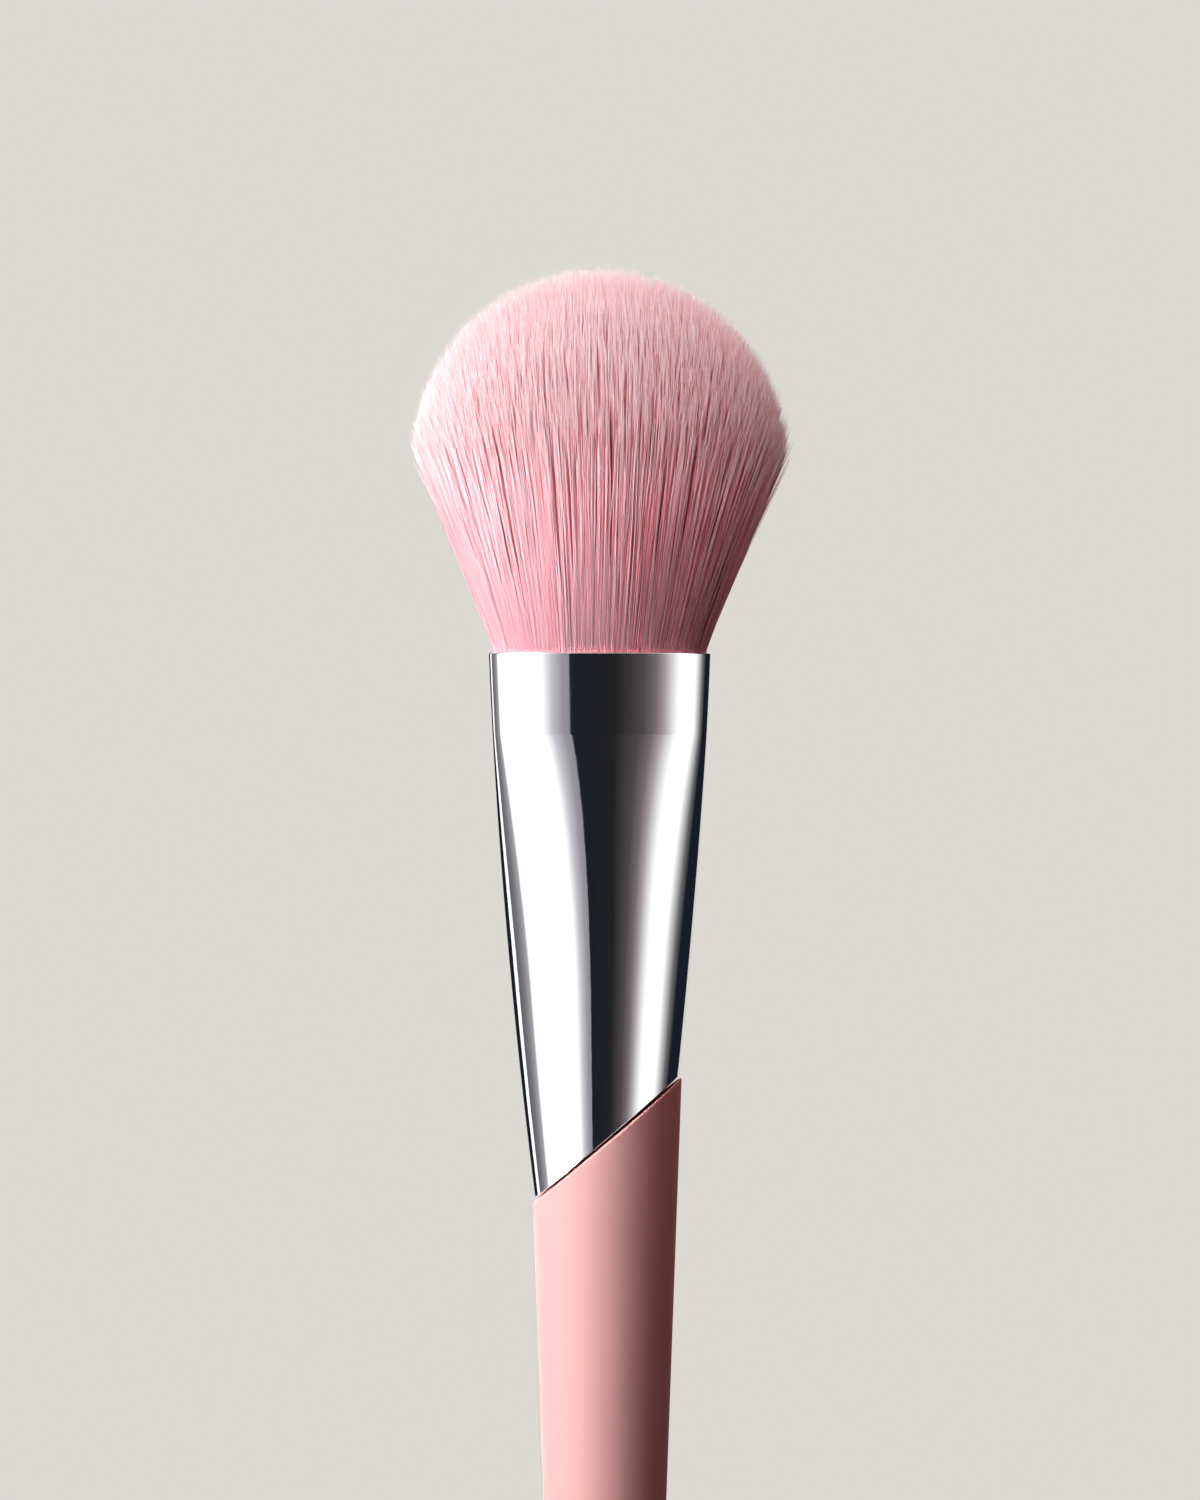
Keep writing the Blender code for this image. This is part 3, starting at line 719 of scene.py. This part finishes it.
class Strands:
    """All the strands of the tuft: where each grows, how it bends on the way up, where it ends and its shade.

    A strand keeps its place in the unit disc, which the flare spreads out. On the way up it is drawn towards
    the middle of its wisp, the wisp towards the middle of its lock, and all stray sideways and bend in a slow
    wave. Near -X the bundle is calm, and bunches and shades even out there.
    """

    def __init__(self):
        count = STRAND_COUNT
        self.seeds = even_disc(count, SEED_JITTER)
        reach = np.linalg.norm(self.seeds, axis=1)
        wisp, self.wisp_middle = bunches(self.seeds, WISP_CELLS)
        lock, self.lock_middle = bunches(self.wisp_middle, LOCK_CELLS)
        self.wisp_pull = shared(wisp, *WISP_PULL)[:, None]
        self.lock_pull = shared(lock, *LOCK_PULL)[:, None]
        own = np.where(random.random(count) < LOOSE_SHARE, LOOSE_DRIFT, STRAND_DRIFT)[:, None]
        drift = scatter(lock, LOCK_DRIFT) + scatter(wisp, WISP_DRIFT) + random.normal(size=(count, 2)) * own
        unrest = CALM_SHARE + (1 - CALM_SHARE) * smooth(*CALM_SIDE, self.wisp_middle[:, 0])
        self.drift = flattened(drift, self.wisp_middle) * unrest[:, None]
        self.wisp_pull *= unrest[:, None]
        self.bow = scatter(wisp, WISP_BOW) + random.normal(size=(count, 2)) * STRAND_BOW
        self.bow_phase = shared(wisp, 0, math.tau) + random.normal(size=count) * BOW_PHASE_SPREAD
        shortfall = np.abs(scatter(wisp, WISP_SHORTFALL)[:, 0]) + random.normal(size=count) * STRAND_SHORTFALL
        shortfall += np.where(random.random(count) < SHORT_SHARE, random.random(count) * SHORT_REACH, 0)
        self.shortfall = np.minimum(shortfall, DEEPEST_SHORTFALL) - OVERSHOOT
        self.tops = self.find_tops(self.shortfall)
        front = (self.seeds[:, 1] / np.maximum(reach, MIDDLE_REACH)) ** 2
        room = 1 - np.maximum(self.tops - WIDEST, 0) / DOME_HEIGHT
        self.tops += random.exponential(LYING_LENGTH, count) * np.clip(front * room, 0, 1)
        self.tops = np.minimum(self.tops, WIDEST + DOME_HEIGHT * CAP_SHARE * (1 - self.shortfall))
        strays = STRAY_SHARE + STRAY_EXTRA_SHARE * (self.seeds[:, 0] > STRAY_SIDE)
        stray = (reach > STRAY_RIM) & (random.random(count) < strays)
        self.lean = np.where(stray, random.uniform(0.0, STRAY_LEAN, count), 0)
        self.start_turn = random.uniform(0, math.tau, count)
        coarse = random.random(count) < COARSE_SHARE
        coarse_girth, fine_girth = random.uniform(*COARSE_GIRTH, count), random.uniform(*FINE_GIRTH, count)
        self.girth = np.where(coarse, coarse_girth, fine_girth)
        tone = random.normal(size=count) * STRAND_TONE
        tone = tone + scatter(wisp, WISP_TONE)[:, 0] + scatter(lock, LOCK_TONE)[:, 0]
        self.tone = np.clip(0.5 + tone * unrest, 0, 1)

    def place(self, height, some=slice(None)):
        """Places of some strands in the unit disc at a height for each."""
        rise = np.clip(height / TUFT_HEIGHT, 0, 1)
        seeds, wisp_middle = self.seeds[some], self.wisp_middle[some]
        wisp_shut = smooth(*WISP_GATHER_SHARES, rise)[:, None]
        lock_shut = smooth(*LOCK_GATHER_SHARES, rise)[:, None]
        place = seeds + (wisp_middle - seeds) * self.wisp_pull[some] * wisp_shut
        place += (self.lock_middle[some] - wisp_middle) * self.lock_pull[some] * lock_shut
        place += self.drift[some] * rise[:, None]
        wave = np.sin(self.bow_phase[some] + math.tau * BOW_TURNS * rise) * smooth(0, BOW_START_SHARE, rise)
        place += self.bow[some] * wave[:, None]
        far = np.linalg.norm(place, axis=1)
        return swept(place * np.minimum(1, (EDGE_REACH + EDGE_SPREAD * rise) / far)[:, None], height)

    def drawn_in(self, place, height, some):
        """Places held inside the dome, each strand at its own depth, so that its end lies along the dome."""
        risen = np.maximum(height - WIDEST, 0) / DOME_HEIGHT
        across = np.sqrt(np.maximum(dome_reach(place, height) ** 2 - risen**2, TINY**2))
        room = np.sqrt(np.maximum((1 - self.shortfall[some]) ** 2 - risen**2, 0))
        return place * np.minimum(1, room / across)[:, None]

    def find_tops(self, shortfall):
        """Height at which each strand reaches the dome less its shortfall, by halving along its path."""
        low, high = np.zeros(STRAND_COUNT), np.full(STRAND_COUNT, TUFT_HEIGHT * SEARCH_SHARE)
        for _ in range(HALVINGS):
            middle = (low + high) / 2
            inside = dome_reach(self.place(middle), middle) < 1 - shortfall
            low, high = np.where(inside, middle, low), np.where(inside, high, middle)
        return low

    def rows(self, some, level_shares):
        """Rings of corners up some strands, their normals, and the shares that colour them."""
        turn = self.start_turn[some, None] + np.arange(STRAND_SIDES) * math.tau / STRAND_SIDES
        round_it = np.stack([np.cos(turn), np.sin(turn), np.zeros(turn.shape)], axis=2)
        tops, count = self.tops[some], len(turn)
        rows, normals, shares = [], [], {"tip_share": [], "sunk": [], "rise": [], "tone": []}
        for share in (*level_shares, 1.0):
            height = -SLICE_RECESS + (tops + SLICE_RECESS) * share
            place = self.drawn_in(self.place(height, some), height, some)
            shares["tip_share"].append((tops - height) / TUFT_HEIGHT)
            shares["sunk"].append(sunk_share(place, height))
            shares["rise"].append(np.clip(height / TUFT_HEIGHT, 0, 1))
            shares["tone"].append(self.tone[some])
            outside = outward(place, height)
            place = place * (1 + self.lean[some] * share**2)[:, None]
            wide, deep = tuft_halves(height)
            x, y = turned(place[:, 0] * wide, place[:, 1] * deep)
            size = STRAND_RADIUS * self.girth[some] * np.interp(share, *GIRTH_SHARES)
            middle = np.stack([x, y, MOUTH + height], axis=1)
            rows.append(middle[:, None] + round_it * size[:, None, None])
            normals.append(round_it + outside[:, None] * TUFT_NORMAL_SHARE)
        shares = {label: np.array(values).T for label, values in shares.items()}
        return np.array(rows), np.array(normals), shares


def strand_corners(rows):
    """Rows of rings as one list of corners, strand by strand: all rings but the last, then the tip."""
    tube = np.moveaxis(rows[:-1], 0, 1).reshape(rows.shape[1], -1, 3)
    return np.concatenate([tube, rows[-1].mean(axis=1, keepdims=True)], axis=1).reshape(-1, 3)


def bristle_ring(name, rows, normals, shares, material):
    """One ring of the tuft as a mesh. Each strand has its own cell in the map, as wide as one side."""
    count, sides = rows.shape[1], STRAND_SIDES
    levels = len(rows) - 1
    per = levels * sides + 1
    corner = np.arange(levels * sides).reshape(levels, sides)
    after = np.roll(corner, -1, axis=1)
    quads = np.stack([corner[:-1], after[:-1], after[1:], corner[1:]], axis=-1).reshape(-1, 4)
    fans = np.stack([corner[-1], after[-1], np.full(sides, per - 1)], axis=1)
    foot = corner[0][None, ::-1]
    start = (np.arange(count) * per)[:, None, None]
    all_quads = (quads[None] + start).reshape(-1, 4)
    triangles = np.concatenate([(fans[None] + start).reshape(-1, 3), (foot[None] + start).reshape(-1, 3)])
    facing = strand_corners(normals)
    facing /= np.linalg.norm(facing, axis=1, keepdims=True)
    made = mesh_object(name, strand_corners(rows), all_quads, triangles, material, sharp=0, normals=facing)
    for label, values in shares.items():
        spread = np.concatenate([np.repeat(values[:, :-1], sides, axis=1), values[:, -1:]], axis=1)
        layer = made.data.attributes.new(label, "FLOAT", "POINT")
        layer.data.foreach_set("value", spread.astype(np.float32).ravel())
    write_cells(made.data, count, levels, sides)
    return made


def write_cells(mesh, count, levels, sides):
    """The map OFBake: a grid of upright cells, one to a strand, with its root below and its tip above."""
    across = math.ceil(math.sqrt(count * CELL_SLIMNESS))
    down = math.ceil(count / across)
    corner = np.zeros(len(mesh.loops), np.int32)
    mesh.loops.foreach_get("vertex_index", corner)
    per = levels * sides + 1
    strand, local = corner // per, corner % per
    level = np.minimum(local // sides, levels)
    start = np.zeros(len(mesh.polygons), np.int32)
    total = np.zeros(len(mesh.polygons), np.int32)
    mesh.polygons.foreach_get("loop_start", start)
    mesh.polygons.foreach_get("loop_total", total)
    place = np.arange(len(corner)) - np.repeat(start, total)
    four = np.repeat(total, total) == 4
    right = np.where(four, np.isin(place, (1, 2)), place / 2.0)
    side, end = CELL_MARGIN_SHARES
    u = (strand % across + side + (1 - 2 * side) * right) / across
    v = (strand // across + end + (1 - 2 * end) * level / levels) / down
    layer = mesh.uv_layers.new(name="OFBake")
    layer.uv.foreach_set("vector", np.stack([u, v], axis=1).astype(np.float32).ravel())


def bristles(material):
    """The tuft as rings of strands, from the core to the outside."""
    strands = Strands()
    made, low = [], 0
    for edge, pieces, level_shares in RINGS:
        bounds = np.linspace(low, STRAND_COUNT * edge**2, pieces + 1).astype(int)
        for first, last in zip(bounds, bounds[1:]):
            name = f"bristle_ring_{len(made) + 1}"
            made.append(bristle_ring(name, *strands.rows(slice(first, last), level_shares), material))
        low = bounds[-1]
    return made


def root_slice(material):
    """The slice of glued roots under the strands: an oval disc with a rounded rim."""
    spare = FERRULE_WALL + GAP
    wide, deep = MOUTH_HALF_WIDTH - spare, MOUTH_HALF_DEPTH - spare
    top = MOUTH - SLICE_RECESS
    rings = []
    for s in SLICE_SHARES:
        rings.append(head_ring(lambda z, s=s: (wide * s, deep * s), top, sides=SLICE_SIDES))
    for a in np.linspace(0, math.pi / 2, SLICE_LEVELS):
        inset = SLICE_ROUND * (1 - math.sin(a))
        level = top - SLICE_ROUND * (1 - math.cos(a))
        rings.append(head_ring(lambda z, i=inset: (wide - i, deep - i), level, sides=SLICE_SIDES))
    rings.append(head_ring(lambda z: (wide, deep), top - SLICE_THICKNESS, sides=SLICE_SIDES))
    return skin("root_slice", np.array(rings), material)


# Studio


def card(name, first, last, stops):
    """A curved upright card round the brush between two bearings, seen only in reflections.

    Bearings run in degrees from the main camera, rising towards +X. The stops give its brightness from its
    first edge, at 0, to its last, at 1.
    """
    edges = CARD_STEPS + 1
    bearing = np.radians(np.linspace(first, last, edges))
    x, y = CARD_DISTANCE * np.sin(bearing), -CARD_DISTANCE * np.cos(bearing)
    foot = np.stack([x, y, np.full(edges, CARD_FOOT)], axis=1)
    head = np.stack([x, y, np.full(edges, CARD_TOP)], axis=1)
    index = np.arange(CARD_STEPS)
    quads = np.stack([index, index + 1, index + edges + 1, index + edges], axis=1)
    made = Nodes(name)
    made.tree.nodes.remove(made.shader)
    spread = made.add("ShaderNodeUVMap", uv_map="across")
    apart = made.add("ShaderNodeSeparateXYZ")
    made.join(spread.outputs["UV"], apart.inputs["Vector"])
    light = made.add("ShaderNodeEmission")
    peak = max(value for place, colour in stops for value in colour)
    scaled = [(place, tuple(value / peak for value in colour)) for place, colour in stops]
    made.join(made.ramp(apart.outputs["X"], scaled), light.inputs["Color"])
    light.inputs["Strength"].default_value = peak
    made.surface(light.outputs["Emission"])
    mesh = bpy.data.meshes.new(name)
    mesh.from_pydata(np.concatenate([foot, head]).tolist(), [], quads.tolist())
    layer = mesh.uv_layers.new(name="across")
    corner = np.zeros(len(mesh.loops), np.int32)
    mesh.loops.foreach_get("vertex_index", corner)
    across = np.stack([corner % edges / CARD_STEPS, corner // edges], axis=1)
    layer.uv.foreach_set("vector", across.astype(np.float32).ravel())
    mesh.materials.append(made.material)
    sheet = add_object(name, mesh)
    for seen in ("camera", "diffuse", "transmission", "volume_scatter", "shadow"):
        setattr(sheet, "visible_" + seen, False)


def grey(value, tint=(1.0, 1.0, 1.0)):
    """A brightness as a colour, with a slight tint."""
    return tuple(value * share for share in tint)


def cards():
    """Softboxes, and black flags between them, that draw the bright and dark bands along the metal.

    The left one is far brighter than the rest, because its dull reflection also pales the left of the soft
    handle and the bristles.
    """
    ink = (0.010, 0.013, 0.020)
    cool, rosy = (1.0, 0.965, 1.04), (1.09, 0.94, 0.97)
    left = (
        (0.0, grey(0.40, cool)), (0.15, grey(3.0)), (0.25, grey(24.0)), (0.50, grey(90.0)),
        (0.66, grey(90.0)), (0.72, grey(8.0)), (0.77, grey(2.0)), (0.80, grey(1.05)),
        (0.87, grey(0.60, cool)), (0.95, grey(0.34, cool)), (1.0, grey(0.30, cool)),
    )
    right = (
        (0.0, grey(0.02)), (0.15, grey(0.075, rosy)), (0.24, grey(0.17, rosy)), (0.31, grey(0.38, rosy)),
        (0.37, grey(0.70)), (0.43, grey(1.03)), (0.55, grey(1.5)), (0.70, grey(1.15)), (0.78, grey(0.62)),
        (0.885, grey(0.16)), (1.0, ink),
    )
    card("left_softbox", -104, -12, left)
    card("front_flag", -12, 16, ((0.0, ink), (1.0, (0.018, 0.018, 0.019))))
    card("right_softbox", 16, 118, right)
    card("right_flag", 118, 152, ((0.0, ink), (1.0, ink)))
    card("back_left_flag", -164, -142, ((0.0, ink), (1.0, ink)))
    card("back_strip", -142, -131, ((0.0, grey(1.3)), (1.0, grey(1.3))))
    card("left_flag", -131, -104, ((0.0, grey(0.12, cool)), (0.5, grey(0.20, cool)), (1.0, grey(0.40, cool))))


def lamp(name, bearing, height, distance, width, tall, power):
    """A flat lamp at a bearing from the main camera, aimed at the brush, that adds no reflection."""
    light = bpy.data.lights.new(name, "AREA")
    light.shape = "RECTANGLE"
    light.size, light.size_y = width, tall
    light.energy = power
    made = add_object(name, light)
    turn = math.radians(bearing)
    away = np.array((math.sin(turn), -math.cos(turn), 0.0)) * distance
    made.location = (away[0], away[1], height)
    made.rotation_euler = (math.atan2(distance, height - CAMERA_HEIGHT), 0.0, turn)
    made.visible_glossy = False
    made.visible_camera = False


def world():
    """Pale backdrop for the camera and for reflections, and a weak fill for everything else."""
    made = bpy.data.worlds.new("studio")
    made.use_nodes = True
    nodes, links = made.node_tree.nodes, made.node_tree.links
    nodes.clear()
    path = nodes.new("ShaderNodeLightPath")
    seen = path.outputs["Is Camera Ray"]
    for ray in ("Is Glossy Ray", "Is Transmission Ray"):
        also = nodes.new("ShaderNodeMath")
        also.operation = "MAXIMUM"
        links.new(seen, also.inputs[0])
        links.new(path.outputs[ray], also.inputs[1])
        seen = also.outputs[0]
    shown, fill = nodes.new("ShaderNodeBackground"), nodes.new("ShaderNodeBackground")
    shown.inputs["Color"].default_value = (*BACKDROP, 1.0)
    fill.inputs["Color"].default_value = (*FILL, 1.0)
    fill.inputs["Strength"].default_value = FILL_STRENGTH
    either = nodes.new("ShaderNodeMixShader")
    out = nodes.new("ShaderNodeOutputWorld")
    links.new(seen, either.inputs["Fac"])
    links.new(fill.outputs[0], either.inputs[1])
    links.new(shown.outputs[0], either.inputs[2])
    links.new(either.outputs[0], out.inputs["Surface"])
    bpy.context.scene.world = made


def floor():
    """A pale round floor that thins out towards its rim, so that no edge shows against the backdrop."""
    size = (FLOOR_RINGS, FLOOR_SIDES)
    turn = np.linspace(0, math.tau, FLOOR_SIDES, endpoint=False)
    reach = np.linspace(FLOOR_MIDDLE, FLOOR_RADIUS, FLOOR_RINGS)[:, None]
    rings = np.stack([reach * np.cos(turn), reach * np.sin(turn), np.zeros(size)], axis=-1)
    index = np.arange(FLOOR_RINGS * FLOOR_SIDES).reshape(size)
    here, there = index[:-1], index[1:]
    quads = np.stack([here, np.roll(here, -1, 1), np.roll(there, -1, 1), there], axis=-1).reshape(-1, 4)
    last = np.full(FLOOR_SIDES, index.size)
    middle = np.stack([last, np.roll(index[0], -1), index[0]], axis=1)
    mesh = bpy.data.meshes.new("floor")
    mesh.from_pydata(rings.reshape(-1, 3).tolist() + [(0.0, 0.0, 0.0)], [], quads.tolist() + middle.tolist())
    made = Nodes("pale_floor")
    made.set(Roughness=0.9, Specular_IOR_Level=0.0)
    grain = made.noise((400.0, 400.0, 400.0), 2.0)
    made.colour(made.ramp(grain, ((0.3, (0.68, 0.66, 0.625)), (0.7, (0.71, 0.69, 0.65)))))
    where = made.add("ShaderNodeTexCoord")
    far = made.add("ShaderNodeVectorMath", operation="LENGTH")
    made.join(where.outputs["Object"], far.inputs[0])
    clear = made.add("ShaderNodeBsdfTransparent")
    both = made.add("ShaderNodeMixShader")
    made.join(made.range(far.outputs["Value"], *FLOOR_CLEAR, 0.0, 1.0), both.inputs["Fac"])
    made.join(made.shader.outputs["BSDF"], both.inputs[1])
    made.join(clear.outputs["BSDF"], both.inputs[2])
    made.surface(both.outputs["Shader"])
    mesh.materials.append(made.material)
    sheet = add_object("floor", mesh)
    sheet.visible_glossy = False
    sheet.visible_diffuse = False


def camera():
    """Level camera in front of the brush, as high as the middle of the photographed stretch."""
    data = bpy.data.cameras.new("camera")
    data.sensor_width = SENSOR * 1000
    data.lens = SENSOR * 1000 * CAMERA_DISTANCE / VIEW_HEIGHT
    made = add_object("camera", data)
    made.location = (AXIS, -CAMERA_DISTANCE, CAMERA_HEIGHT)
    made.rotation_euler = (math.pi / 2, 0.0, 0.0)
    bpy.context.scene.camera = made


def dress(piece, slot, *nodes):
    """Puts a finished piece on the brush, in the stead of the nodes that it stands for."""
    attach(piece, "root")
    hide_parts(*nodes)


camera()
world()
floor()
cards()
for values in LAMPS:
    lamp(*values)

dress(ferrule(chrome_material()), "ferrule_metal", "ferrule")
dress(handle(soft_touch_material()), "soft_touch", "handle")
filament = bristle_material()
for piece in bristles(filament):
    dress(piece, "bristle", "bristle_tuft")
roots = glued_root_material()
dress(root_slice(roots), "bristle", "bristle_tuft")

glue = glue_material()
for node, material in (
    ("tuft_root_block", roots),
    ("binding_thread", thread_material()),
    ("root_glue_plug", glue),
    ("tenon_glue_ring", glue),
    ("balance_weight", steel_material()),
    ("core_plug", stopper_material()),
):
    frame["nodes"][node].data.materials.clear()
    frame["nodes"][node].data.materials.append(material)

bpy.context.scene.view_settings.view_transform = "Standard"
